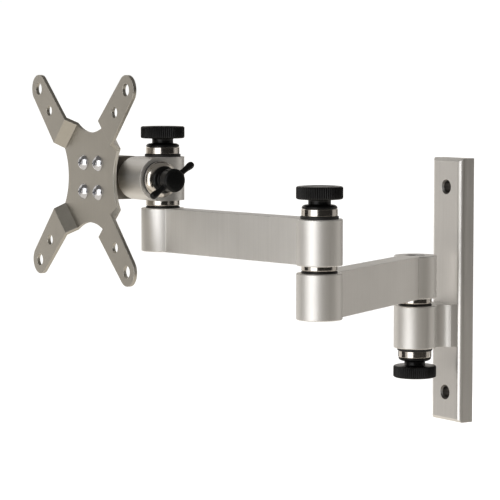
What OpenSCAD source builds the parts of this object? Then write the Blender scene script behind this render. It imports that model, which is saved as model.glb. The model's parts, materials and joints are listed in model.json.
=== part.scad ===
// Full motion wall mount for a flat screen.
// Two equal arms fold between a wall bar and a screen head that pans and tilts.
// Origin: centre of the wall bar's back face. +Y runs into the wall, +Z is up,
// and the screen faces -Y. Millimetres.

/* [Wall bar] */
// Width of the wall bar
bar_w = 27; // [26:0.5:40]
// Height of the wall bar
bar_h = 153.5; // [144:0.5:200]
// Thickness of the wall bar
bar_t = 9.7; // [8:0.1:12]
// Distance between the two wall screw holes
wall_hole_gap = 120; // [110:1:126]
// Diameter of a wall screw hole
wall_hole_d = 6.6; // [5:0.1:7.5]

/* [Joint barrels] */
// Diameter of every joint barrel
barrel_d = 24.5; // [24.5:0.1:26]
// Height of every joint barrel
barrel_h = 24.5; // [24.5:0.1:27]
// Diameter of the clamping bolts
bolt_d = 6; // [5:0.5:6]
// Running clearance round a bolt in its bushes, on the radius
run_gap = 0.05; // [0.02:0.01:0.08]

/* [Arms] */
// Length of each arm between its joint axes
arm_len = 130; // [120:1:160]
// Thickness of the arm's flat bar
arm_t = 13; // [12:0.5:16]
// Direction of the lower arm as stored, measured from +X
arm1_dir = -60.5; // [-70:0.5:-50]
// Direction of the upper arm as stored, measured from +X
arm2_dir = 187.7; // [180:0.1:195]

/* [Screen plate] */
// Outer square hole pattern
outer_pattern = 100; // [100:1:100]
// Inner square hole pattern
inner_pattern = 75; // [75:1:75]
// Diameter of an outer hole
outer_hole_d = 7; // [5:0.1:8]
// Diameter of an inner hole
inner_hole_d = 6; // [4.5:0.1:7]
// Sheet thickness
sheet_t = 2; // [1.5:0.1:3]
// How far the four pads stand in front of the middle of the plate
joggle = 6; // [4:0.5:8]

/* [Knobs] */
// Diameter of the round knobs
knob_d = 24.8; // [20:0.1:28]
// Height of a knob's grip
knob_h = 6.8; // [6:0.1:10]
// Distance between the tips of the wing knob
wing_span = 32.5; // [26:0.5:36]
// Lean of the wing knob's bar from level
wing_lean = 34; // [0:1:45]

/* [Hidden] */

$fn = 96;
eps = 0.01;

alu = [0.74, 0.72, 0.69];
steel = [0.62, 0.60, 0.56];
bright = [0.80, 0.79, 0.77];
black = [0.05, 0.05, 0.05];
brass = [0.78, 0.62, 0.32];
nylon = [0.90, 0.89, 0.85];

// Bevel across the two ends of the wall bar's front
front_bevel = 2;
// Radius of its long front edges
front_round = 3.15;

// Barrels and the stacks between and outside them
barrel_r = barrel_d / 2;
rim_chamfer = 0.4;
bolt_r = bolt_d / 2;
bush_r = bolt_r + 1;
bush_bore_r = bolt_r + run_gap;
bush_len = 9;
flange_r = 6;
flange_t = 1;
flange_gap = 0.15;
clear_r = bolt_r + 0.2;
gap_ring_r = 9.6;
gap_air = 0.1;
washer_r = 10.15;
washer_t = 1.4;
ring_r = 9.6;
ring_t = 4.1;
wide_gap = 4.5;
elbow_gap = 4;
gap_washer_t = 0.8;

// Hex bolt heads sit in a round mouth with a hexagonal pocket below it
mouth_r = 6.1;
mouth_depth = 3;
hex_af = 10;
head_h = 4;
pocket_r = (hex_af + 0.2) / 2 / cos(30);
head_r = hex_af / 2 / cos(30);
head_depth = mouth_depth + head_h;

// Knobs, measured outward from the ring they press on
dome_h = 1.8;
neck_h = 2.9;
neck_r = 6;
knob_r = knob_d / 2;
knob_total = dome_h + neck_h + knob_h;
nut_len = 8.5;
nut_start = 0.2;
bolt_in_knob = 8;
knob_air = 0.1;

// Heights of the four stacked barrels
knuckle_z = -32.25;
arm1_z = knuckle_z + barrel_h + wide_gap;
arm2_z = arm1_z + barrel_h + elbow_gap;
head_z = arm2_z + barrel_h + wide_gap;
tilt_z = head_z + barrel_h / 2;

// Joint axes seen from above
knuckle_reach = 22.3;
knuckle_y = -bar_t - knuckle_reach;
elbow_x = arm_len * cos(arm1_dir);
elbow_y = knuckle_y + arm_len * sin(arm1_dir);
pan_x = elbow_x + arm_len * cos(arm2_dir);
pan_y = elbow_y + arm_len * sin(arm2_dir);
tilt_forward = 10;
tilt_y = pan_y - tilt_forward;
bracket_x = pan_x - barrel_d - elbow_gap;

// Screen plate, measured from the tilt axis toward the screen
bracket_reach = 18.7;
plate_back_y = tilt_y - bracket_reach;
plate_front_y = plate_back_y - sheet_t;
pad_front_y = plate_front_y - joggle;
waist = 25.6;
waist_arc_r = 30.8;
fold_d = 32.9;
fold_half_w = 9.7;
pad_fold_d = 37.4;
tip_r = 8.2;
tip_d = outer_pattern / 2 * sqrt(2);
screw_gap = 16.5;
screw_r = 2.5;
screw_head_r = 4.6;
screw_head_h = 2.8;
screw_len = 8;

// Screws that hold the knuckle's foot from behind the wall bar
foot_screw_gap = 13;
foot_screw_r = 2;

stack_out = washer_t + ring_t;
bolt_overhang = stack_out + bolt_in_knob;

// ---------------------------------------------------------------- helpers

// Places children on one of the vertical joint axes
module at_knuckle(z) { translate([0, knuckle_y, z]) children(); }
module at_elbow(z) { translate([elbow_x, elbow_y, z]) children(); }
module at_pan(z) { translate([pan_x, pan_y, z]) children(); }

// Places children on the tilt axis with local +Z along +X, starting at x
module at_tilt(x) {
    translate([x, tilt_y, tilt_z]) rotate([0, 90, 0]) children();
}

// Solid joint barrel with a small chamfer round both rims
module barrel() {
    rotate_extrude()
        polygon([[0, 0], [barrel_r - rim_chamfer, 0], [barrel_r, rim_chamfer],
            [barrel_r, barrel_h - rim_chamfer],
            [barrel_r - rim_chamfer, barrel_h], [0, barrel_h]]);
}

// Flat washer
module washer(r, t, hole_r) {
    difference() {
        cylinder(r = r, h = t);
        translate([0, 0, -eps]) cylinder(r = hole_r, h = t + 2 * eps);
    }
}

// Turned steel ring of a clamping stack, slightly broken at both edges
module stack_ring() {
    edge = 0.35;
    rotate_extrude()
        polygon([[clear_r, 0], [ring_r - edge, 0], [ring_r, edge],
            [ring_r, ring_t - edge], [ring_r - edge, ring_t],
            [clear_r, ring_t]]);
}

// Turned ring between two barrels, drawn in at its lower edge
module gap_ring(t) {
    rotate_extrude()
        polygon([[clear_r, 0], [gap_ring_r - 0.9, 0],
            [gap_ring_r - 0.25, 0.45], [gap_ring_r, 1],
            [gap_ring_r, t - 0.2], [gap_ring_r - 0.2, t], [clear_r, t]]);
}

// Turned ring under the wing knob: its outer face rolls over to the front
module rolled_ring() {
    roll = ring_t - 1;
    arc = [for (a = [0:10:90])
        [washer_r - roll + roll * cos(a), ring_t - roll + roll * sin(a)]];
    rotate_extrude()
        polygon(concat([[clear_r, 0], [washer_r, 0]], arc,
            [[clear_r, ring_t]]));
}

// Space for a flanged bush in the mouth of a bore that opens at z = 0
module bush_seat() {
    translate([0, 0, -eps]) cylinder(r = bush_r, h = bush_len + eps);
    translate([0, 0, -eps])
        cylinder(r = flange_r + flange_gap, h = flange_t + eps);
}

// Flanged bush, its flange face at z = 0 and its sleeve above
module bush() {
    difference() {
        union() {
            cylinder(r = bush_r, h = bush_len);
            cylinder(r = flange_r, h = flange_t);
        }
        translate([0, 0, -eps])
            cylinder(r = bush_bore_r, h = bush_len + 2 * eps);
    }
}

// Seats for a bush at each end of a bore of length len
module bush_bore(len) {
    bush_seat();
    translate([0, 0, len]) mirror([0, 0, 1]) bush_seat();
    cylinder(r = clear_r + 0.1, h = len);
}

// Pair of bushes in a bore of length len
module bush_pair(len) {
    bush();
    translate([0, 0, len]) mirror([0, 0, 1]) bush();
}

// Cut for a bolt whose head enters at z = 0 and whose shank runs up to len
module bolt_bore(len) {
    translate([0, 0, -eps]) cylinder(r = mouth_r, h = mouth_depth + eps);
    cylinder(r = pocket_r, h = head_depth, $fn = 6);
    cylinder(r = clear_r, h = len + eps);
}

// Hexagon-headed bolt: head from z = mouth_depth, tip at z = tip
module bolt(tip) {
    point = 0.6;
    translate([0, 0, mouth_depth]) cylinder(r = head_r, h = head_h, $fn = 6);
    translate([0, 0, head_depth]) rotate_extrude()
        polygon([[0, 0], [bolt_r, 0], [bolt_r, tip - head_depth - point],
            [bolt_r - point, tip - head_depth], [0, tip - head_depth]]);
}

// Round knob: dome on the ring, neck, then the grip. Blind hole for its nut
module knob() {
    edge = 0.5;
    grip_z = dome_h + neck_h;
    rotate_extrude()
        polygon([[bush_r, 0], [ring_r - 0.2, 0], [ring_r - 0.2, 0.4],
            [ring_r - 1.5, dome_h], [neck_r, dome_h], [neck_r, grip_z],
            [knob_r - edge, grip_z], [knob_r, grip_z + edge],
            [knob_r, knob_total - edge], [knob_r - edge, knob_total],
            [0, knob_total], [0, nut_start + nut_len],
            [bush_r, nut_start + nut_len]]);
}

// Threaded insert moulded into a knob
module nut() {
    translate([0, 0, nut_start]) difference() {
        cylinder(r = bush_r, h = nut_len);
        translate([0, 0, -eps])
            cylinder(r = bush_bore_r, h = nut_len + 2 * eps);
    }
}

// One tapered finger of the wing knob, along local +Z from the hub's middle
module wing_finger() {
    root_r = 1.4;
    end_r = 1.75;
    reach = wing_span / 2 - end_r;
    cylinder(r1 = root_r, r2 = end_r, h = reach);
    translate([0, 0, reach]) sphere(r = end_r);
}

// Straight arm seen from above: two barrels joined by a flat bar
module arm_body() {
    barrel();
    translate([arm_len, 0, 0]) barrel();
    translate([0, -arm_t / 2, 0]) cube([arm_len, arm_t, barrel_h]);
}

// Outline of one diagonal arm of the plate, along local +X
module plate_arm_outline() {
    polygon([[0, -fold_half_w], [fold_d, -fold_half_w], [tip_d, -tip_r],
        [tip_d, tip_r], [fold_d, fold_half_w], [0, fold_half_w]]);
    translate([tip_d, 0]) circle(r = tip_r);
}

// Side view of one diagonal arm: flat, sloping fold, flat pad. x along the
// arm, y toward the screen, 0 at the back of the middle part
module plate_arm_profile() {
    rise = joggle;
    shift = 0.45 * sheet_t;
    polygon([[fold_d - 14, 0], [fold_d + shift, 0],
        [pad_fold_d + shift, rise], [tip_d + 20, rise],
        [tip_d + 20, rise + sheet_t], [pad_fold_d - shift, rise + sheet_t],
        [fold_d - shift, sheet_t], [fold_d - 14, sheet_t]]);
}

// One diagonal arm of the plate in local axes: X along it, Z toward the screen
module plate_arm() {
    intersection() {
        linear_extrude(height = joggle + 2 * sheet_t) plate_arm_outline();
        translate([0, 2 * tip_r, 0]) rotate([90, 0, 0])
            linear_extrude(height = 4 * tip_r) plate_arm_profile();
    }
}

// Middle of the plate: a square on its corner with four hollow sides
module plate_middle() {
    linear_extrude(height = sheet_t) difference() {
        rotate(45) square(2 * fold_d, center = true);
        for (a = [0:90:270])
            rotate(a) translate([waist + waist_arc_r, 0])
                circle(r = waist_arc_r);
        for (a = [0:90:270])
            rotate(a) translate([waist + waist_arc_r / 2, -fold_d])
                square([waist_arc_r, 2 * fold_d]);
    }
}

// The four corners of a square pattern of the given spacing
module square_pattern(gap) {
    for (x = [-1, 1], y = [-1, 1])
        translate([x * gap / 2, y * gap / 2]) children();
}

// Places the plate's local axes: X to +X, Y up, Z toward the screen
module on_plate() {
    translate([bracket_x, plate_back_y, tilt_z]) rotate([90, 0, 0])
        children();
}

// ---------------------------------------------------------------- wall side

// Bar with all its front edges bevelled, mitred at the corners
module wall_bar_body() {
    b = front_bevel;
    r = front_round;
    translate([0, 0, -bar_h / 2]) intersection() {
        linear_extrude(height = bar_h) union() {
            translate([-bar_w / 2, r - bar_t]) square([bar_w, bar_t - r]);
            translate([r - bar_w / 2, -bar_t])
                square([bar_w - 2 * r, bar_t]);
            for (s = [-1, 1])
                translate([s * (bar_w / 2 - r), r - bar_t]) circle(r = r);
        }
        translate([-bar_w / 2, 0, 0]) rotate([90, 0, 90])
            linear_extrude(height = bar_w)
                polygon([[0, 0], [b - bar_t, 0], [-bar_t, b],
                    [-bar_t, bar_h - b], [b - bar_t, bar_h], [0, bar_h]]);
    }
}

module wall_bar() {
    sink_r = 4.4;
    sink_depth = sink_r - wall_hole_d / 2;
    color(alu) difference() {
        wall_bar_body();
        for (s = [-1, 1])
            translate([0, 0, s * wall_hole_gap / 2]) rotate([90, 0, 0]) {
                translate([0, 0, -1])
                    cylinder(r = wall_hole_d / 2, h = bar_t + 2);
                translate([0, 0, bar_t - sink_depth])
                    cylinder(r1 = wall_hole_d / 2, r2 = sink_r,
                        h = sink_depth);
                translate([0, 0, bar_t - eps]) cylinder(r = sink_r, h = 1);
            }
        foot_screws();
    }
}

// Barrel on a waisted web that widens into a foot against the wall bar
module wall_knuckle() {
    waist_half = 6.85;
    waist_r = 6.35;
    waist_y = -bar_t - 10.8;
    web_half = 11;
    foot_half = 11.3;
    color(alu) difference() {
        union() {
            at_knuckle(knuckle_z) barrel();
            translate([0, 0, knuckle_z]) linear_extrude(height = barrel_h)
                difference() {
                    union() {
                        translate([-foot_half, waist_y])
                            square([2 * foot_half, -bar_t - waist_y]);
                        translate([-web_half, knuckle_y])
                            square([2 * web_half, waist_y - knuckle_y]);
                    }
                    for (s = [-1, 1])
                        translate([s * (waist_half + waist_r), waist_y])
                            circle(r = waist_r);
                }
        }
        at_knuckle(knuckle_z) bush_bore(barrel_h);
        foot_screws();
    }
}

// Two countersunk screws driven from behind the wall bar into the foot
module foot_screws() {
    length = 14;
    sink_r = 4.2;
    for (s = [-1, 1])
        translate([0, 0, knuckle_z + barrel_h / 2 + s * foot_screw_gap / 2])
            rotate([90, 0, 0]) {
                cylinder(r = foot_screw_r, h = length);
                cylinder(r1 = sink_r, r2 = foot_screw_r,
                    h = sink_r - foot_screw_r);
            }
}

module knuckle_screws() { color(steel) foot_screws(); }

module knuckle_bushes() {
    color(nylon) at_knuckle(knuckle_z) bush_pair(barrel_h);
}

module shoulder_gap_washer() {
    color(black) at_knuckle(knuckle_z + barrel_h)
        washer(gap_ring_r, gap_washer_t, clear_r);
}

module shoulder_lower_washer() {
    color(black) at_knuckle(knuckle_z - washer_t)
        washer(washer_r, washer_t, clear_r);
}

module shoulder_lower_ring() {
    color(bright) at_knuckle(knuckle_z - stack_out) stack_ring();
}

// ---------------------------------------------------------------- lower arm

module lower_arm() {
    color(alu) difference() {
        at_knuckle(arm1_z) rotate(arm1_dir) arm_body();
        at_knuckle(arm1_z + barrel_h) mirror([0, 0, 1]) bolt_bore(barrel_h);
        at_elbow(arm1_z) bolt_bore(barrel_h);
    }
}

module shoulder_bolt() {
    color(black) at_knuckle(arm1_z + barrel_h) mirror([0, 0, 1])
        bolt(2 * barrel_h + wide_gap + bolt_overhang);
}

module shoulder_gap_ring() {
    t = wide_gap - gap_washer_t - gap_air;
    color(bright) at_knuckle(arm1_z - t) gap_ring(t);
}

module elbow_bolt() {
    color(black) at_elbow(arm1_z)
        bolt(2 * barrel_h + elbow_gap + bolt_overhang);
}

module elbow_gap_washer() {
    color(black) at_elbow(arm1_z + barrel_h)
        washer(gap_ring_r, gap_washer_t, clear_r);
}

// ---------------------------------------------------------------- upper arm

module upper_arm() {
    color(alu) difference() {
        at_elbow(arm2_z) rotate(arm2_dir) arm_body();
        at_elbow(arm2_z) bush_bore(barrel_h);
        at_pan(arm2_z) bolt_bore(barrel_h);
    }
}

module elbow_bushes() {
    color(nylon) at_elbow(arm2_z) bush_pair(barrel_h);
}

module elbow_gap_ring() {
    t = elbow_gap - gap_washer_t - gap_air;
    color(bright) at_elbow(arm2_z - t) gap_ring(t);
}

module elbow_upper_washer() {
    color(black) at_elbow(arm2_z + barrel_h)
        washer(washer_r, washer_t, clear_r);
}

module elbow_upper_ring() {
    color(bright) at_elbow(arm2_z + barrel_h + washer_t) stack_ring();
}

module pan_bolt() {
    color(black) at_pan(arm2_z)
        bolt(2 * barrel_h + wide_gap + bolt_overhang);
}

module pan_gap_washer() {
    color(black) at_pan(arm2_z + barrel_h)
        washer(gap_ring_r, gap_washer_t, clear_r);
}

// ---------------------------------------------------------------- head

// Back half round about the pan axis, front half round about the tilt axis
module head_block() {
    color(alu) difference() {
        union() {
            at_pan(head_z) intersection() {
                cylinder(r = barrel_r, h = barrel_h);
                translate([-barrel_r, 0, 0])
                    cube([barrel_d, barrel_r, barrel_h]);
            }
            at_pan(head_z) translate([-barrel_r, -tilt_forward, 0])
                cube([barrel_d, tilt_forward + eps, barrel_h]);
            at_tilt(pan_x - barrel_r) cylinder(r = barrel_h / 2,
                h = barrel_d);
        }
        at_pan(head_z) bush_bore(barrel_h);
        at_tilt(pan_x - barrel_r) bush_bore(barrel_d);
    }
}

module pan_bushes() {
    color(nylon) at_pan(head_z) bush_pair(barrel_h);
}

module tilt_bushes() {
    color(nylon) at_tilt(pan_x - barrel_r) bush_pair(barrel_d);
}

module pan_gap_ring() {
    t = wide_gap - gap_washer_t - gap_air;
    color(bright) at_pan(head_z - t) gap_ring(t);
}

module pan_upper_washer() {
    color(black) at_pan(head_z + barrel_h)
        washer(washer_r, washer_t, clear_r);
}

module pan_upper_ring() {
    color(bright) at_pan(head_z + barrel_h + washer_t) stack_ring();
}

module tilt_outer_washer() {
    color(black) at_tilt(pan_x + barrel_r)
        washer(washer_r, washer_t, clear_r);
}

module tilt_outer_ring() {
    color(bright) at_tilt(pan_x + barrel_r + washer_t) rolled_ring();
}

module tilt_gap_ring() {
    t = elbow_gap - gap_washer_t - gap_air;
    color(bright) at_tilt(pan_x - barrel_r - t) gap_ring(t);
}

// ---------------------------------------------------------------- screen side

// Block round about the tilt axis, with a flat face for the plate
module screen_bracket() {
    color(alu) difference() {
        union() {
            at_tilt(bracket_x - barrel_r) cylinder(r = barrel_h / 2,
                h = barrel_d);
            translate([bracket_x - barrel_r, plate_back_y,
                tilt_z - barrel_h / 2])
                cube([barrel_d, bracket_reach, barrel_h]);
        }
        at_tilt(bracket_x - barrel_r) bolt_bore(barrel_d);
        on_plate() translate([0, 0, -screw_len]) square_pattern(screw_gap)
            cylinder(r = screw_r, h = screw_len + 1);
    }
}

module tilt_gap_washer() {
    color(black) at_tilt(bracket_x + barrel_r)
        washer(gap_ring_r, gap_washer_t, clear_r);
}

module tilt_bolt() {
    color(black) at_tilt(bracket_x - barrel_r)
        bolt(2 * barrel_d + elbow_gap + bolt_overhang);
}

module screen_plate() {
    color(steel) on_plate() difference() {
        union() {
            plate_middle();
            for (a = [45:90:315]) rotate(a) plate_arm();
        }
        translate([0, 0, -1]) {
            square_pattern(outer_pattern)
                cylinder(r = outer_hole_d / 2, h = joggle + 2 * sheet_t);
            square_pattern(inner_pattern)
                cylinder(r = inner_hole_d / 2, h = joggle + 2 * sheet_t);
            square_pattern(screw_gap)
                cylinder(r = screw_r, h = sheet_t + 2);
        }
    }
}

// Four cross-recess screws with low domed heads
module plate_screws() {
    dome_r = (screw_head_r * screw_head_r + screw_head_h * screw_head_h)
        / (2 * screw_head_h);
    slot_w = 0.9;
    slot_l = 4.4;
    color(bright) on_plate() square_pattern(screw_gap) difference() {
        union() {
            translate([0, 0, sheet_t - screw_len])
                cylinder(r = screw_r, h = screw_len + 0.3);
            intersection() {
                translate([0, 0, sheet_t + screw_head_h - dome_r])
                    sphere(r = dome_r);
                translate([0, 0, sheet_t])
                    cylinder(r = screw_head_r, h = screw_head_h);
            }
        }
        for (a = [0, 90])
            translate([0, 0, sheet_t + screw_head_h]) rotate(a)
                cube([slot_l, slot_w, 3], center = true);
    }
}

// ---------------------------------------------------------------- knobs

module at_shoulder_knob() {
    at_knuckle(knuckle_z - stack_out - knob_air) mirror([0, 0, 1])
        children();
}

module at_elbow_knob() {
    at_elbow(arm2_z + barrel_h + stack_out + knob_air) children();
}

module at_pan_knob() {
    at_pan(head_z + barrel_h + stack_out + knob_air) children();
}

module at_wing_knob() {
    at_tilt(pan_x + barrel_r + stack_out + knob_air) children();
}

module shoulder_knob() { color(black) at_shoulder_knob() knob(); }
module shoulder_nut() { color(brass) at_shoulder_knob() nut(); }
module elbow_knob() { color(black) at_elbow_knob() knob(); }
module elbow_nut() { color(brass) at_elbow_knob() nut(); }
module pan_knob() { color(black) at_pan_knob() knob(); }
module pan_nut() { color(brass) at_pan_knob() nut(); }

// Small hub on a flange, with one finger each side
module wing_knob() {
    flange_edge_r = 7.6;
    hub_r = 6.2;
    hub_len = 12.4;
    wing_at = 8.6;
    color(black) at_wing_knob() difference() {
        union() {
            rotate_extrude()
                polygon([[0, 0], [flange_edge_r, 0],
                    [flange_edge_r, 0.8], [flange_edge_r - 1, dome_h],
                    [hub_r - 1, dome_h + 0.2], [hub_r - 1, 4.8],
                    [hub_r, 5.8], [hub_r, hub_len - 1],
                    [hub_r - 1, hub_len], [0, hub_len]]);
            for (s = [-1, 1])
                translate([0, 0, wing_at]) rotate([0, 0, wing_lean])
                    rotate([s * 90, 0, 0]) wing_finger();
        }
        translate([0, 0, -eps])
            cylinder(r = bush_r, h = nut_start + nut_len + eps);
    }
}

module wing_nut() { color(brass) at_wing_knob() nut(); }

// ---------------------------------------------------------------- drawing

wall_bar();
wall_knuckle();
knuckle_screws();
knuckle_bushes();
shoulder_gap_washer();
shoulder_lower_washer();
shoulder_lower_ring();
lower_arm();
shoulder_bolt();
shoulder_gap_ring();
elbow_bolt();
elbow_gap_washer();
upper_arm();
elbow_bushes();
elbow_gap_ring();
elbow_upper_washer();
elbow_upper_ring();
pan_bolt();
pan_gap_washer();
head_block();
pan_bushes();
tilt_bushes();
pan_gap_ring();
pan_upper_washer();
pan_upper_ring();
tilt_outer_washer();
tilt_outer_ring();
tilt_gap_ring();
screen_bracket();
tilt_gap_washer();
tilt_bolt();
screen_plate();
plate_screws();
shoulder_knob();
shoulder_nut();
elbow_knob();
elbow_nut();
pan_knob();
pan_nut();
wing_knob();
wing_nut();
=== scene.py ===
import json
import math

import bmesh
import bpy
from mathutils import Matrix, Vector


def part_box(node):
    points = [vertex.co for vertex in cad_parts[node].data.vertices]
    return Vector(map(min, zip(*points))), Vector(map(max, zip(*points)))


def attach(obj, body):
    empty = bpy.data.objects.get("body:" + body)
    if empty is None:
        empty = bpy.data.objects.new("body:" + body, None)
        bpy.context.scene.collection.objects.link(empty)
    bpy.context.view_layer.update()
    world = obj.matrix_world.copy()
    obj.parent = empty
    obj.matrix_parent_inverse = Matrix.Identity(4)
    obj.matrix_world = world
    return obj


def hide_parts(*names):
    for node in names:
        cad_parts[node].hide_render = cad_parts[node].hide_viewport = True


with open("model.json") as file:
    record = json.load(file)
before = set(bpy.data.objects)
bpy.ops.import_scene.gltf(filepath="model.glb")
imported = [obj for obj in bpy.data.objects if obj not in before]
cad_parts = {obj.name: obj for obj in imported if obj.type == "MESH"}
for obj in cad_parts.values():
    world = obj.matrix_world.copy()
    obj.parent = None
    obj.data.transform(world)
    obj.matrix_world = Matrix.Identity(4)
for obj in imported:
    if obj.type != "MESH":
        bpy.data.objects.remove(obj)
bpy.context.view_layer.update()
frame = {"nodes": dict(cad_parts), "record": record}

MM = 0.001

# ---------------------------------------------------------------- viewpoint

CAMERA_AZIMUTH = 56.4
CAMERA_PITCH = 4.53
CAMERA_PLACE = (1.023, -0.826, 0.1265)
CAMERA_LENS = 162
SENSOR_WIDTH = 36
VIEW_REACH = 50

# ---------------------------------------------------------------- studio

PAPER_WHITE = (0.97, 0.97, 0.965)
# Brightness of the paper as the camera sees it
PAPER_GLOW = 1.05
# Tone of the unlit room at eye level, of its ceiling, and of the paper sweep below
ROOM_TONE = (0.016, 0.015, 0.014)
CEILING_TONE = (0.155, 0.148, 0.137)
SWEEP_TONE = (0.84, 0.785, 0.70)
# Height of each tone in the room, from 0 straight below to 1 straight above
ROOM_BANDS = (
    (0.28, SWEEP_TONE),
    (0.44, ROOM_TONE),
    (0.56, ROOM_TONE),
    (0.72, CEILING_TONE),
)
# Colours of the lamps: the key lamp is a pure white, the others a warm one
PURE_LAMP = (1.0, 1.0, 1.0)
WARM_LAMP = (1.0, 0.955, 0.90)
FLOOR_LEVEL = -0.30
FLOOR_REACH = 30.0
# Middle of the object, which every softbox faces
SUBJECT = Vector((-0.02, -0.11, 0.02))

# name, azimuth, height angle, distance, width, height, brightness, colour
SOFTBOXES = (
    ("key_softbox", 22, 6, 1.3, 0.95, 1.7, 2.0, PURE_LAMP),
    ("left_wing", -8, 4, 1.3, 0.4, 1.5, 0.55, WARM_LAMP),
    ("left_strip", -76, 9, 1.4, 1.3, 1.6, 0.78, WARM_LAMP),
    ("right_fill", 164, 6, 1.5, 1.3, 1.6, 0.42, WARM_LAMP),
    ("far_panel", 236, 14, 1.6, 1.8, 1.2, 0.7, WARM_LAMP),
)


def link(thing):
    bpy.context.scene.collection.objects.link(thing)


def facing(azimuth, height_angle):
    """Unit vector from the subject toward a place at that azimuth and height."""
    a = math.radians(azimuth)
    h = math.radians(height_angle)
    return Vector((math.sin(a) * math.cos(h), -math.cos(a) * math.cos(h), math.sin(h)))


def make_camera():
    data = bpy.data.cameras.new("camera")
    data.lens = CAMERA_LENS
    data.sensor_width = SENSOR_WIDTH
    data.clip_end = VIEW_REACH
    camera = bpy.data.objects.new("camera", data)
    camera.location = CAMERA_PLACE
    camera.rotation_euler = (math.radians(90 - CAMERA_PITCH), 0, math.radians(CAMERA_AZIMUTH))
    link(camera)
    bpy.context.scene.camera = camera


def make_softbox(name, azimuth, height_angle, distance, width, height, brightness, colour):
    data = bpy.data.lights.new(name, "AREA")
    data.shape = "RECTANGLE"
    data.size = width
    data.size_y = height
    data.energy = brightness * width * height * math.pi
    data.color = colour
    lamp = bpy.data.objects.new(name, data)
    toward = facing(azimuth, height_angle)
    lamp.location = SUBJECT + toward * distance
    lamp.rotation_euler = toward.to_track_quat("Z", "Y").to_euler()
    lamp.visible_camera = False
    link(lamp)


def make_world():
    """White paper to the camera, and a room in bands of tone to every other ray."""
    world = bpy.data.worlds.new("studio")
    world.use_nodes = True
    bpy.context.scene.world = world
    nodes = world.node_tree.nodes
    links = world.node_tree.links
    nodes.clear()
    path = nodes.new("ShaderNodeLightPath")
    direction = nodes.new("ShaderNodeTexCoord")
    split = nodes.new("ShaderNodeSeparateXYZ")
    level = nodes.new("ShaderNodeMapRange")
    level.inputs["From Min"].default_value = -1
    tone = nodes.new("ShaderNodeValToRGB")
    tone.color_ramp.interpolation = "EASE"
    while len(tone.color_ramp.elements) < len(ROOM_BANDS):
        tone.color_ramp.elements.new(0.5)
    for element, (place, colour) in zip(tone.color_ramp.elements, ROOM_BANDS):
        element.position = place
        element.color = (*colour, 1)
    room = nodes.new("ShaderNodeBackground")
    links.new(direction.outputs["Generated"], split.inputs[0])
    links.new(split.outputs["Z"], level.inputs["Value"])
    links.new(level.outputs[0], tone.inputs["Fac"])
    links.new(tone.outputs["Color"], room.inputs["Color"])
    paper = nodes.new("ShaderNodeBackground")
    paper.inputs["Color"].default_value = (*PAPER_WHITE, 1)
    paper.inputs["Strength"].default_value = PAPER_GLOW
    mix = nodes.new("ShaderNodeMixShader")
    out = nodes.new("ShaderNodeOutputWorld")
    links.new(path.outputs["Is Camera Ray"], mix.inputs["Fac"])
    links.new(room.outputs[0], mix.inputs[1])
    links.new(paper.outputs[0], mix.inputs[2])
    links.new(mix.outputs[0], out.inputs["Surface"])


def make_floor():
    """Pale floor under the object, left out of what the metal mirrors."""
    mesh = bpy.data.meshes.new("studio_floor")
    r = FLOOR_REACH
    corners = [(x, y, FLOOR_LEVEL) for x, y in ((-r, -r), (r, -r), (r, r), (-r, r))]
    mesh.from_pydata(corners, [], [(0, 1, 2, 3)])
    floor = bpy.data.objects.new("studio_floor", mesh)
    link(floor)
    mat = bpy.data.materials.new("pale_floor")
    mat.use_nodes = True
    shader = mat.node_tree.nodes["Principled BSDF"]
    shader.inputs["Base Color"].default_value = (*PAPER_WHITE, 1)
    shader.inputs["Roughness"].default_value = 0.9
    shader.inputs["Emission Color"].default_value = (*PAPER_WHITE, 1)
    shader.inputs["Emission Strength"].default_value = PAPER_GLOW
    mesh.materials.append(mat)
    floor.visible_glossy = False


# ---------------------------------------------------------------- shader groups


def socket(group, name, kind, into, value=None):
    way = "INPUT" if into else "OUTPUT"
    item = group.interface.new_socket(name=name, in_out=way, socket_type=kind)
    if value is not None:
        item.default_value = value


def new_group(name):
    group = bpy.data.node_groups.new(name, "ShaderNodeTree")
    start = group.nodes.new("NodeGroupInput")
    end = group.nodes.new("NodeGroupOutput")
    return group, start, end


def math_node(nodes, operation, b=None):
    node = nodes.new("ShaderNodeMath")
    node.operation = operation
    if b is not None:
        node.inputs[1].default_value = b
    return node


def make_brushed_lines():
    """Parallel lines in two widths: noise drawn out along the axis with the small scale."""
    group, start, end = new_group("brushed_lines")
    socket(group, "Line Scale", "NodeSocketVector", True, (900, 900, 10))
    socket(group, "Cloud Scale", "NodeSocketFloat", True, 45)
    socket(group, "Lines", "NodeSocketFloat", False)
    socket(group, "Hairlines", "NodeSocketFloat", False)
    socket(group, "Clouds", "NodeSocketFloat", False)
    nodes = group.nodes
    links = group.links
    place = nodes.new("ShaderNodeTexCoord")
    stretch = nodes.new("ShaderNodeMapping")
    links.new(place.outputs["Object"], stretch.inputs["Vector"])
    links.new(start.outputs["Line Scale"], stretch.inputs["Scale"])
    for name, scale, detail in (("Lines", 1, 4), ("Hairlines", 4.5, 2)):
        noise = nodes.new("ShaderNodeTexNoise")
        noise.inputs["Scale"].default_value = scale
        noise.inputs["Detail"].default_value = detail
        noise.inputs["Roughness"].default_value = 0.62
        links.new(stretch.outputs[0], noise.inputs["Vector"])
        spread = nodes.new("ShaderNodeMapRange")
        spread.inputs["From Min"].default_value = 0.28
        spread.inputs["From Max"].default_value = 0.72
        links.new(noise.outputs["Fac"], spread.inputs["Value"])
        links.new(spread.outputs[0], end.inputs[name])
    clouds = nodes.new("ShaderNodeTexNoise")
    clouds.inputs["Detail"].default_value = 3
    links.new(place.outputs["Object"], clouds.inputs["Vector"])
    links.new(start.outputs["Cloud Scale"], clouds.inputs["Scale"])
    links.new(clouds.outputs["Fac"], end.inputs["Clouds"])
    return group


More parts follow.
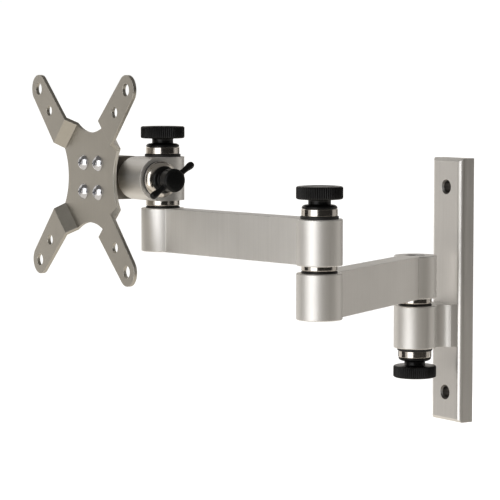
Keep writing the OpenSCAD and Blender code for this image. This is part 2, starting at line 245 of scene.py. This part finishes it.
def make_flat_side():
    """Mask of the flat faces that look along Side, apart from the round barrels."""
    group, start, end = new_group("flat_side")
    socket(group, "Side", "NodeSocketVector", True, (0, 1, 0))
    socket(group, "Mask", "NodeSocketFloat", False)
    nodes = group.nodes
    links = group.links
    place = nodes.new("ShaderNodeTexCoord")
    turn = nodes.new("ShaderNodeVectorMath")
    turn.operation = "DOT_PRODUCT"
    links.new(place.outputs["Normal"], turn.inputs[0])
    links.new(start.outputs["Side"], turn.inputs[1])
    size = math_node(nodes, "ABSOLUTE")
    links.new(turn.outputs["Value"], size.inputs[0])
    cut = nodes.new("ShaderNodeMapRange")
    cut.inputs["From Min"].default_value = 0.985
    cut.inputs["From Max"].default_value = 0.997
    links.new(size.outputs[0], cut.inputs["Value"])
    links.new(cut.outputs[0], end.inputs["Mask"])
    return group


def make_hole_shade_mask():
    """Mask of a round hole drilled along Y and of its countersink, as wide as Radius, where the
    hole's painted shade goes.
    """
    group, start, end = new_group("hole_shade_mask")
    socket(group, "Centre", "NodeSocketVector", True, (0, 0, 0))
    socket(group, "Radius", "NodeSocketFloat", True, 0.004)
    socket(group, "Mask", "NodeSocketFloat", False)
    nodes = group.nodes
    links = group.links
    place = nodes.new("ShaderNodeTexCoord")
    away = nodes.new("ShaderNodeVectorMath")
    away.operation = "SUBTRACT"
    links.new(place.outputs["Object"], away.inputs[0])
    links.new(start.outputs["Centre"], away.inputs[1])
    level = nodes.new("ShaderNodeVectorMath")
    level.operation = "MULTIPLY"
    level.inputs[1].default_value = (1, 0, 1)
    links.new(away.outputs[0], level.inputs[0])
    reach = nodes.new("ShaderNodeVectorMath")
    reach.operation = "LENGTH"
    links.new(level.outputs[0], reach.inputs[0])
    inside = math_node(nodes, "LESS_THAN")
    links.new(reach.outputs["Value"], inside.inputs[0])
    links.new(start.outputs["Radius"], inside.inputs[1])
    links.new(inside.outputs[0], end.inputs["Mask"])
    return group


def make_worn_edge():
    """Mask and softened normal along outer edges, as wide as Width."""
    group, start, end = new_group("worn_edge")
    socket(group, "Width", "NodeSocketFloat", True, 0.0004)
    socket(group, "Mask", "NodeSocketFloat", False)
    socket(group, "Soft Normal", "NodeSocketVector", False)
    nodes = group.nodes
    links = group.links
    bevel = nodes.new("ShaderNodeBevel")
    bevel.samples = 6
    links.new(start.outputs["Width"], bevel.inputs["Radius"])
    surface = nodes.new("ShaderNodeNewGeometry")
    turn = nodes.new("ShaderNodeVectorMath")
    turn.operation = "DOT_PRODUCT"
    links.new(bevel.outputs[0], turn.inputs[0])
    links.new(surface.outputs["Normal"], turn.inputs[1])
    spread = nodes.new("ShaderNodeMapRange")
    spread.inputs["From Min"].default_value = 0.99
    spread.inputs["From Max"].default_value = 0.80
    place = nodes.new("ShaderNodeTexCoord")
    patch = nodes.new("ShaderNodeTexNoise")
    patch.inputs["Scale"].default_value = 500
    patch.inputs["Detail"].default_value = 3
    links.new(place.outputs["Object"], patch.inputs["Vector"])
    broken = nodes.new("ShaderNodeMapRange")
    broken.inputs["From Min"].default_value = 0.30
    broken.inputs["From Max"].default_value = 0.62
    links.new(patch.outputs["Fac"], broken.inputs["Value"])
    both = math_node(nodes, "MULTIPLY")
    links.new(turn.outputs["Value"], spread.inputs["Value"])
    links.new(spread.outputs[0], both.inputs[0])
    links.new(broken.outputs[0], both.inputs[1])
    links.new(both.outputs[0], end.inputs["Mask"])
    links.new(bevel.outputs[0], end.inputs["Soft Normal"])
    return group


def make_fine_grain():
    """Close, even grain of a blasted or moulded surface."""
    group, start, end = new_group("fine_grain")
    socket(group, "Grain Scale", "NodeSocketFloat", True, 5000)
    socket(group, "Grain", "NodeSocketFloat", False)
    nodes = group.nodes
    links = group.links
    place = nodes.new("ShaderNodeTexCoord")
    grain = nodes.new("ShaderNodeTexNoise")
    grain.inputs["Detail"].default_value = 2
    links.new(place.outputs["Object"], grain.inputs["Vector"])
    links.new(start.outputs["Grain Scale"], grain.inputs["Scale"])
    links.new(grain.outputs["Fac"], end.inputs["Grain"])
    return group


def make_handling_marks():
    """Sparse hair scratches and smudges that only change the gloss."""
    group, start, end = new_group("handling_marks")
    socket(group, "Mark Scale", "NodeSocketFloat", True, 90)
    socket(group, "Marks", "NodeSocketFloat", False)
    nodes = group.nodes
    links = group.links
    place = nodes.new("ShaderNodeTexCoord")
    slant = nodes.new("ShaderNodeMapping")
    slant.inputs["Rotation"].default_value = (0.4, 0.7, 0.3)
    slant.inputs["Scale"].default_value = (1, 14, 1)
    links.new(place.outputs["Object"], slant.inputs["Vector"])
    hair = nodes.new("ShaderNodeTexNoise")
    hair.inputs["Detail"].default_value = 4
    links.new(slant.outputs[0], hair.inputs["Vector"])
    links.new(start.outputs["Mark Scale"], hair.inputs["Scale"])
    cut = nodes.new("ShaderNodeMapRange")
    cut.inputs["From Min"].default_value = 0.60
    cut.inputs["From Max"].default_value = 0.74
    links.new(hair.outputs["Fac"], cut.inputs["Value"])
    links.new(cut.outputs[0], end.inputs["Marks"])
    return group


# ---------------------------------------------------------------- places on the object


def middle(node):
    low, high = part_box(node)
    return (low + high) / 2


def side_of(axis_a, axis_b):
    """Level unit vector square to the line between two joint axes."""
    along = middle(axis_b) - middle(axis_a)
    return Vector((-along.y, along.x, 0)).normalized()


# Spacing of the two wall screw holes, the radius of their countersinks, and the tone of the
# painted shade inside them
WALL_HOLE_GAP = 120 * MM
WALL_HOLE_R = 4.3 * MM
HOLE_SHADE_TONE = (0.07, 0.065, 0.058)


def wall_holes():
    centre = middle("wall_bar")
    up = Vector((0, 0, WALL_HOLE_GAP / 2))
    return ((centre + up, WALL_HOLE_R), (centre - up, WALL_HOLE_R))


# ---------------------------------------------------------------- finishes

# Depth of the brushed lines in metal and of the grain in moulded plastic
LINE_DEPTH = 0.05 * MM
GRAIN_DEPTH = 0.04 * MM
# Share of the worn tone that shows on metal edges, and on moulded ones
METAL_WEAR = 0.6
MOULDED_WEAR = 0.25
# Roughness that handling adds to metal, and to moulded plastic
METAL_MARKS = 0.05
MOULDED_MARKS = 0.08
# Strength of the lines away from the flat sides, and of the painted shade in a drilled hole
ROUND_SIDE_LINES = 0.15
HOLE_SHADE_STRENGTH = 0.85

# Scale of the lines' noise on X, Y and Z: the lines run along the smallest
LINES_UPRIGHT = (900, 900, 9)
LINES_ALONG_X = (9, 900, 900)
TURNED_ABOUT_Z = (20, 20, 1800)
TURNED_ABOUT_X = (1800, 20, 20)

# Dark and light tone of the satin aluminium, and of the polished rings
SATIN = ((0.80, 0.79, 0.77), (0.97, 0.96, 0.945))
RING = ((0.66, 0.62, 0.57), (0.80, 0.76, 0.71))


class Finish:
    """One material being put together around its own Principled shader."""

    def __init__(self, name):
        self.material = bpy.data.materials.new(name)
        self.material.use_nodes = True
        self.nodes = self.material.node_tree.nodes
        self.links = self.material.node_tree.links
        self.shader = self.nodes["Principled BSDF"]

    def constant(self, name, value):
        self.shader.inputs[name].default_value = value

    def place(self, group, **values):
        """Puts a shader group in, its sockets named with _ for a space."""
        node = self.nodes.new("ShaderNodeGroup")
        node.node_tree = group
        for key, value in values.items():
            node.inputs[key.replace("_", " ")].default_value = value
        return node

    def tones(self, mask, dark, light):
        """Colour from dark, where the mask is 0, to light."""
        mix = self.nodes.new("ShaderNodeMix")
        mix.data_type = "RGBA"
        mix.inputs["A"].default_value = (*dark, 1)
        mix.inputs["B"].default_value = (*light, 1)
        self.links.new(mask, mix.inputs["Factor"])
        return mix.outputs["Result"]

    def over(self, below, mask, colour):
        """Lays one colour over what is below, as far as the mask says."""
        mix = self.nodes.new("ShaderNodeMix")
        mix.data_type = "RGBA"
        mix.inputs["B"].default_value = (*colour, 1)
        self.links.new(below, mix.inputs["A"])
        self.links.new(mask, mix.inputs["Factor"])
        return mix.outputs["Result"]

    def span(self, mask, low, high):
        """Stretches a 0 to 1 mask to run from low to high."""
        span = self.nodes.new("ShaderNodeMapRange")
        span.inputs["To Min"].default_value = low
        span.inputs["To Max"].default_value = high
        self.links.new(mask, span.inputs["Value"])
        return span.outputs[0]

    def add(self, a, b):
        node = math_node(self.nodes, "ADD")
        self.links.new(a, node.inputs[0])
        self.links.new(b, node.inputs[1])
        return node.outputs[0]

    def average(self, a, b):
        node = math_node(self.nodes, "MULTIPLY", b=0.5)
        self.links.new(self.add(a, b), node.inputs[0])
        return node.outputs[0]

    def fade(self, value, strength):
        """Draws a 0 to 1 value toward its middle where strength is below 1."""
        off = math_node(self.nodes, "SUBTRACT", b=0.5)
        self.links.new(value, off.inputs[0])
        scaled = math_node(self.nodes, "MULTIPLY_ADD")
        scaled.inputs[2].default_value = 0.5
        self.links.new(off.outputs[0], scaled.inputs[0])
        self.links.new(strength, scaled.inputs[1])
        return scaled.outputs[0]

    def blend(self, mask, a, b):
        mix = self.nodes.new("ShaderNodeMix")
        self.links.new(mask, mix.inputs["Factor"])
        self.links.new(a, mix.inputs["A"])
        self.links.new(b, mix.inputs["B"])
        return mix.outputs["Result"]

    def bump(self, height, strength, distance, normal=None):
        node = self.nodes.new("ShaderNodeBump")
        node.inputs["Strength"].default_value = strength
        node.inputs["Distance"].default_value = distance
        self.links.new(height, node.inputs["Height"])
        if normal is not None:
            self.links.new(normal, node.inputs["Normal"])
        return node.outputs[0]

    def into(self, name, output):
        self.links.new(output, self.shader.inputs[name])


def metal(name, dark, light, rough, line_scale, groups, depth=0.2, edge=0.4 * MM,
          worn=(0.93, 0.92, 0.9), side=None, side_rough=None, holes=()):
    """Machined metal: brushed lines, cloudy tone, bright worn edges and a few marks.

    With side given, the lines and side_rough show on the flat faces that look that
    way, and the rest of the piece is a smoother satin. Holes are (centre, radius)
    pairs whose inside is darkened in the base colour as painted shade.
    """
    finish = Finish(name)
    lines = finish.place(groups["lines"], Line_Scale=line_scale)
    wear = finish.place(groups["edge"], Width=edge)
    marks = finish.place(groups["marks"])
    streaks = finish.average(lines.outputs["Lines"], lines.outputs["Hairlines"])
    gloss = finish.span(streaks, rough[0], rough[1])
    if side is not None:
        flat = finish.place(groups["flat"], Side=side).outputs["Mask"]
        streaks = finish.fade(streaks, finish.span(flat, ROUND_SIDE_LINES, 1))
        gloss = finish.blend(flat, gloss, finish.span(streaks, side_rough[0], side_rough[1]))
    tone = finish.tones(finish.average(streaks, lines.outputs["Clouds"]), dark, light)
    tone = finish.over(tone, finish.span(wear.outputs["Mask"], 0, METAL_WEAR), worn)
    # Painted shade: the inside of each hole is darkened in the base colour, standing in for the
    # shade that falls there
    for centre, radius in holes:
        hole = finish.place(groups["hole"], Centre=centre, Radius=radius)
        hole_shade = finish.span(hole.outputs["Mask"], 0, HOLE_SHADE_STRENGTH)
        tone = finish.over(tone, hole_shade, HOLE_SHADE_TONE)
    finish.into("Base Color", tone)
    smudges = finish.span(marks.outputs["Marks"], 0, METAL_MARKS)
    finish.into("Roughness", finish.add(gloss, smudges))
    finish.constant("Metallic", 1.0)
    finish.into("Normal", finish.bump(streaks, depth, LINE_DEPTH, wear.outputs["Soft Normal"]))
    return name, finish.material


def moulded(name, dark, light, rough, groups, grain_scale=5000, edge=0.3 * MM, shine=0.4):
    """Moulded plastic: fine grain, slight tone change and polished high edges."""
    finish = Finish(name)
    grain = finish.place(groups["grain"], Grain_Scale=grain_scale)
    wear = finish.place(groups["edge"], Width=edge)
    marks = finish.place(groups["marks"])
    finish.constant("Specular IOR Level", shine)
    tone = finish.tones(grain.outputs["Grain"], dark, light)
    rubbed = tuple(min(1, 3 * c + 0.01) for c in light)
    edges = finish.span(wear.outputs["Mask"], 0, MOULDED_WEAR)
    finish.into("Base Color", finish.over(tone, edges, rubbed))
    gloss = finish.span(grain.outputs["Grain"], rough[0], rough[1])
    smudges = finish.span(marks.outputs["Marks"], 0, MOULDED_MARKS)
    finish.into("Roughness", finish.add(gloss, smudges))
    finish.into("Normal", finish.bump(grain.outputs["Grain"], 0.2, GRAIN_DEPTH,
                                      wear.outputs["Soft Normal"]))
    return name, finish.material


def make_finishes():
    groups = {
        "lines": make_brushed_lines(),
        "flat": make_flat_side(),
        "hole": make_hole_shade_mask(),
        "edge": make_worn_edge(),
        "grain": make_fine_grain(),
        "marks": make_handling_marks(),
    }
    finishes = [
        metal("satin_aluminium", *SATIN, (0.5, 0.57), LINES_UPRIGHT, groups, 0.12,
              side=(1, 0, 0), side_rough=(0.42, 0.5)),
        metal("bar_aluminium", *SATIN, (0.36, 0.46), LINES_UPRIGHT, groups, 0.3,
              holes=wall_holes()),
        metal("lower_arm_aluminium", *SATIN, (0.5, 0.57), LINES_UPRIGHT, groups, 0.25,
              side=side_of("shoulder_lower_ring", "elbow_upper_ring"), side_rough=(0.5, 0.62)),
        metal("upper_arm_aluminium", *SATIN, (0.5, 0.57), LINES_UPRIGHT, groups, 0.25,
              side=side_of("elbow_upper_ring", "pan_upper_ring"), side_rough=(0.5, 0.62)),
        metal("head_aluminium", *SATIN, (0.46, 0.54), LINES_ALONG_X, groups, 0.12),
        # Darker copy of the satin aluminium as painted shade: the bracket sits in shade between
        # the plate and the head block
        metal("bracket_aluminium", (0.30, 0.285, 0.26), (0.42, 0.40, 0.365), (0.36, 0.5),
              LINES_UPRIGHT, groups),
        metal("brushed_plate", (0.45, 0.43, 0.385), (0.58, 0.555, 0.50), (0.32, 0.44),
              LINES_UPRIGHT, groups, 0.2),
        metal("bright_screws", (0.50, 0.51, 0.55), (0.80, 0.81, 0.85), (0.10, 0.2),
              LINES_ALONG_X, groups, 0.05, 0.2 * MM),
        metal("polished_ring", *RING, (0.12, 0.19), TURNED_ABOUT_Z, groups, 0.1, 0.3 * MM),
        metal("polished_ring_tilt", *RING, (0.14, 0.21), TURNED_ABOUT_X, groups, 0.1, 0.3 * MM),
        metal("dark_bolt", (0.03, 0.03, 0.032), (0.07, 0.07, 0.072), (0.30, 0.42),
              TURNED_ABOUT_Z, groups, 0.1, 0.3 * MM, (0.3, 0.3, 0.3)),
        metal("brass_insert", (0.60, 0.44, 0.18), (0.80, 0.62, 0.30), (0.22, 0.34),
              TURNED_ABOUT_Z, groups, 0.1, 0.3 * MM, (0.85, 0.7, 0.4)),
        moulded("black_washer", (0.008, 0.007, 0.007), (0.018, 0.017, 0.016), (0.45, 0.6),
                groups),
        moulded("nylon", (0.74, 0.73, 0.69), (0.84, 0.83, 0.79), (0.4, 0.5), groups),
        moulded("black_knob", (0.002, 0.002, 0.002), (0.005, 0.005, 0.005), (0.24, 0.34),
                groups, shine=0.22),
    ]
    return dict(finishes)


# Finish of each node that doesn't take its slot's ordinary one
OWN_FINISH = {
    "wall_bar": "bar_aluminium",
    "lower_arm": "lower_arm_aluminium",
    "upper_arm": "upper_arm_aluminium",
    "head_block": "head_aluminium",
    "tilt_outer_ring": "polished_ring_tilt",
    "tilt_gap_ring": "polished_ring_tilt",
}


def dress_nodes(finishes):
    for part in frame["record"]["subparts"]:
        name = part["node"]
        node = frame["nodes"][name]
        finish = finishes[OWN_FINISH.get(name, part["material_slot"])]
        node.data.materials.clear()
        node.data.materials.append(finish)


# ---------------------------------------------------------------- round knobs

# name, CAD node, body, whether the knob hangs down from its ring
ROUND_KNOBS = (
    ("shoulder_grip", "shoulder_knob", "shoulder_knob", True),
    ("elbow_grip", "elbow_knob", "elbow_knob", False),
    ("pan_grip", "pan_knob", "pan_knob", False),
)
RIBS = 64
STEPS_PER_RIB = 8
RIB_DEPTH = 0.5 * MM
# Below 1 the crests are broad and round, and the grooves tight
RIB_ROUNDNESS = 0.7
# Depth and radius of the blind hole for the threaded insert, in every knob
INSERT_DEPTH = 8.7
INSERT_R = 4.0

# Radius and height of the knob's outline, from the face on the ring to the top.
# The last number says how much of the ribbing shows at that height.
KNOB_OUTLINE = (
    (INSERT_R, 0.0, 0),
    (9.1, 0.0, 0),
    (9.4, 0.12, 0),
    (9.4, 0.5, 0),
    (9.15, 1.05, 0),
    (8.6, 1.5, 0),
    (7.9, 1.78, 0),
    (6.6, 1.86, 0),
    (6.15, 2.0, 0),
    (6.0, 2.3, 0),
    (6.0, 4.1, 0),
    (6.2, 4.5, 0),
    (6.8, 4.68, 0),
    (11.4, 4.7, 0),
    (11.9, 4.82, 0.3),
    (12.3, 5.2, 0.9),
    (12.4, 5.6, 1),
    (12.4, 10.65, 1),
    (12.3, 11.0, 0.9),
    (11.95, 11.32, 0.3),
    (11.5, 11.5, 0),
    (9.9, 11.5, 0),
    (9.6, 11.42, 0),
    (9.3, 11.2, 0),
    (8.6, 11.1, 0),
    (3.4, 11.1, 0),
    (3.0, 11.2, 0),
    (2.6, 11.25, 0),
)


def rib(angle):
    """Share of the rib depth cut away at an angle: rounded crests, tight grooves."""
    wave = abs(math.sin(angle * RIBS / 2))
    return 1 - wave ** RIB_ROUNDNESS


def knob_mesh(name):
    count = RIBS * STEPS_PER_RIB
    points = []
    for radius, height, ribbing in KNOB_OUTLINE:
        for i in range(count):
            angle = math.tau * i / count
            r = radius * MM - ribbing * RIB_DEPTH * rib(angle)
            points.append((r * math.cos(angle), r * math.sin(angle), height * MM))
    faces = []
    for row in range(len(KNOB_OUTLINE) - 1):
        for i in range(count):
            j = (i + 1) % count
            a = row * count
            b = a + count
            faces.append((a + i, a + j, b + j, b + i))
    top = (len(KNOB_OUTLINE) - 1) * count
    faces.append(tuple(top + i for i in range(count)))
    mesh = bpy.data.meshes.new(name)
    mesh.from_pydata(points, [], faces)
    mesh.update()
    return mesh


def add_bore(mesh, depth):
    """Closes the underside with the blind hole that the threaded insert sits in."""
    work = bmesh.new()
    work.from_mesh(mesh)
    rim = [e for e in work.edges if e.is_boundary]
    inner = bmesh.ops.extrude_edge_only(work, edges=rim)
    moved = [v for v in inner["geom"] if isinstance(v, bmesh.types.BMVert)]
    for v in moved:
        v.co.z += depth
    floor_edges = [e for e in inner["geom"] if isinstance(e, bmesh.types.BMEdge) and e.is_boundary]
    bmesh.ops.contextual_create(work, geom=floor_edges)
    bmesh.ops.recalc_face_normals(work, faces=work.faces[:])
    for face in work.faces:
        face.smooth = len(face.verts) == 4
    work.to_mesh(mesh)
    work.free()


def make_knob(name, node, body, down, finishes):
    """One ribbed knob on the axis of its CAD node, foot up where it hangs down."""
    mesh = knob_mesh(name)
    add_bore(mesh, INSERT_DEPTH * MM)
    low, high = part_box(node)
    centre = middle(node)
    foot = high.z if down else low.z
    if down:
        mesh.transform(Matrix.Rotation(math.pi, 4, "X"))
    mesh.transform(Matrix.Translation((centre.x, centre.y, foot)))
    mesh.materials.append(finishes["black_knob"])
    knob = bpy.data.objects.new(name, mesh)
    link(knob)
    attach(knob, body)
    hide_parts(node)


def make_knobs(finishes):
    for name, node, body, down in ROUND_KNOBS:
        make_knob(name, node, body, down, finishes)


# ---------------------------------------------------------------- wing knob

# Radius and height of the hub's outline, from the blind hole's end round to the top
HUB_OUTLINE = (
    (0.0, INSERT_DEPTH),
    (INSERT_R, INSERT_DEPTH),
    (INSERT_R, 0.0),
    (7.5, 0.0),
    (7.6, 0.15),
    (7.55, 0.8),
    (7.2, 1.35),
    (6.5, 1.8),
    (5.6, 2.0),
    (5.2, 2.4),
    (5.2, 4.8),
    (5.7, 5.5),
    (6.45, 5.95),
    (6.55, 6.4),
    (6.55, 11.2),
    (6.4, 11.8),
    (5.9, 12.25),
    (5.1, 12.5),
    (2.6, 12.75),
    (0.0, 12.8),
)
# Radius and distance out along one finger, bulbed at its end
FINGER_OUTLINE = (
    (0.0, 2.0),
    (2.1, 2.0),
    (2.1, 5.6),
    (1.8, 6.8),
    (1.6, 9.0),
    (1.7, 11.2),
    (2.0, 12.8),
    (2.1, 14.1),
    (1.9, 15.3),
    (1.35, 16.1),
    (0.6, 16.45),
    (0.0, 16.5),
)
# Height of the fingers on the hub, and their lean from upright in degrees
FINGER_HEIGHT = 8.6
FINGER_LEAN = 34
# Steps round the hub and round a finger
HUB_STEPS = 72
FINGER_STEPS = 24
# Grid that the hub and fingers are united on, and how often the result is smoothed
MELT_GRID = 0.22 * MM
MELT_PASSES = 4


def lathe(work, outline, steps, place):
    """Adds a closed turned solid to the bmesh, its axis along Z before place."""
    rows = []
    for radius, height in outline:
        if radius == 0:
            rows.append([work.verts.new(place @ Vector((0, 0, height * MM)))] * steps)
            continue
        row = []
        for i in range(steps):
            angle = math.tau * i / steps
            spot = Vector((radius * math.cos(angle), radius * math.sin(angle), height)) * MM
            row.append(work.verts.new(place @ spot))
        rows.append(row)
    for below, above in zip(rows, rows[1:]):
        for i in range(steps):
            j = (i + 1) % steps
            corners = []
            for v in (below[i], below[j], above[j], above[i]):
                if v not in corners:
                    corners.append(v)
            work.faces.new(corners)


def melt_together(piece, voxel, passes):
    """Unites overlapping closed solids and rounds their meeting lines."""
    remesh = piece.modifiers.new("unite", "REMESH")
    remesh.mode = "VOXEL"
    remesh.voxel_size = voxel
    smooth = piece.modifiers.new("round", "SMOOTH")
    smooth.factor = 0.5
    smooth.iterations = passes
    evaluated = piece.evaluated_get(bpy.context.evaluated_depsgraph_get())
    mesh = bpy.data.meshes.new_from_object(evaluated)
    piece.modifiers.clear()
    piece.data = mesh
    for face in mesh.polygons:
        face.use_smooth = True


def make_wing_knob(finishes):
    """Turned hub with two opposite fingers, moulded as one piece."""
    low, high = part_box("wing_knob")
    centre = middle("wing_knob")
    foot = Matrix.Translation((low.x, centre.y, centre.z))
    outward = foot @ Matrix.Rotation(math.pi / 2, 4, "Y")
    work = bmesh.new()
    lathe(work, HUB_OUTLINE, HUB_STEPS, outward)
    for side in (-90, 90):
        turn = Matrix.Rotation(math.radians(FINGER_LEAN), 4, "Z")
        turn = turn @ Matrix.Rotation(math.radians(side), 4, "X")
        lift = Matrix.Translation((0, 0, FINGER_HEIGHT * MM))
        lathe(work, FINGER_OUTLINE, FINGER_STEPS, outward @ lift @ turn)
    bmesh.ops.recalc_face_normals(work, faces=work.faces[:])
    mesh = bpy.data.meshes.new("wing_grip")
    work.to_mesh(mesh)
    work.free()
    knob = bpy.data.objects.new("wing_grip", mesh)
    link(knob)
    melt_together(knob, MELT_GRID, MELT_PASSES)
    knob.data.name = "wing_grip"
    knob.data.materials.clear()
    knob.data.materials.append(finishes["black_knob"])
    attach(knob, "wing_knob")
    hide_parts("wing_knob")


# ---------------------------------------------------------------- build


bpy.context.scene.view_settings.view_transform = "Standard"
make_camera()
make_world()
make_floor()
for box in SOFTBOXES:
    make_softbox(*box)
finishes = make_finishes()
dress_nodes(finishes)
make_knobs(finishes)
make_wing_knob(finishes)
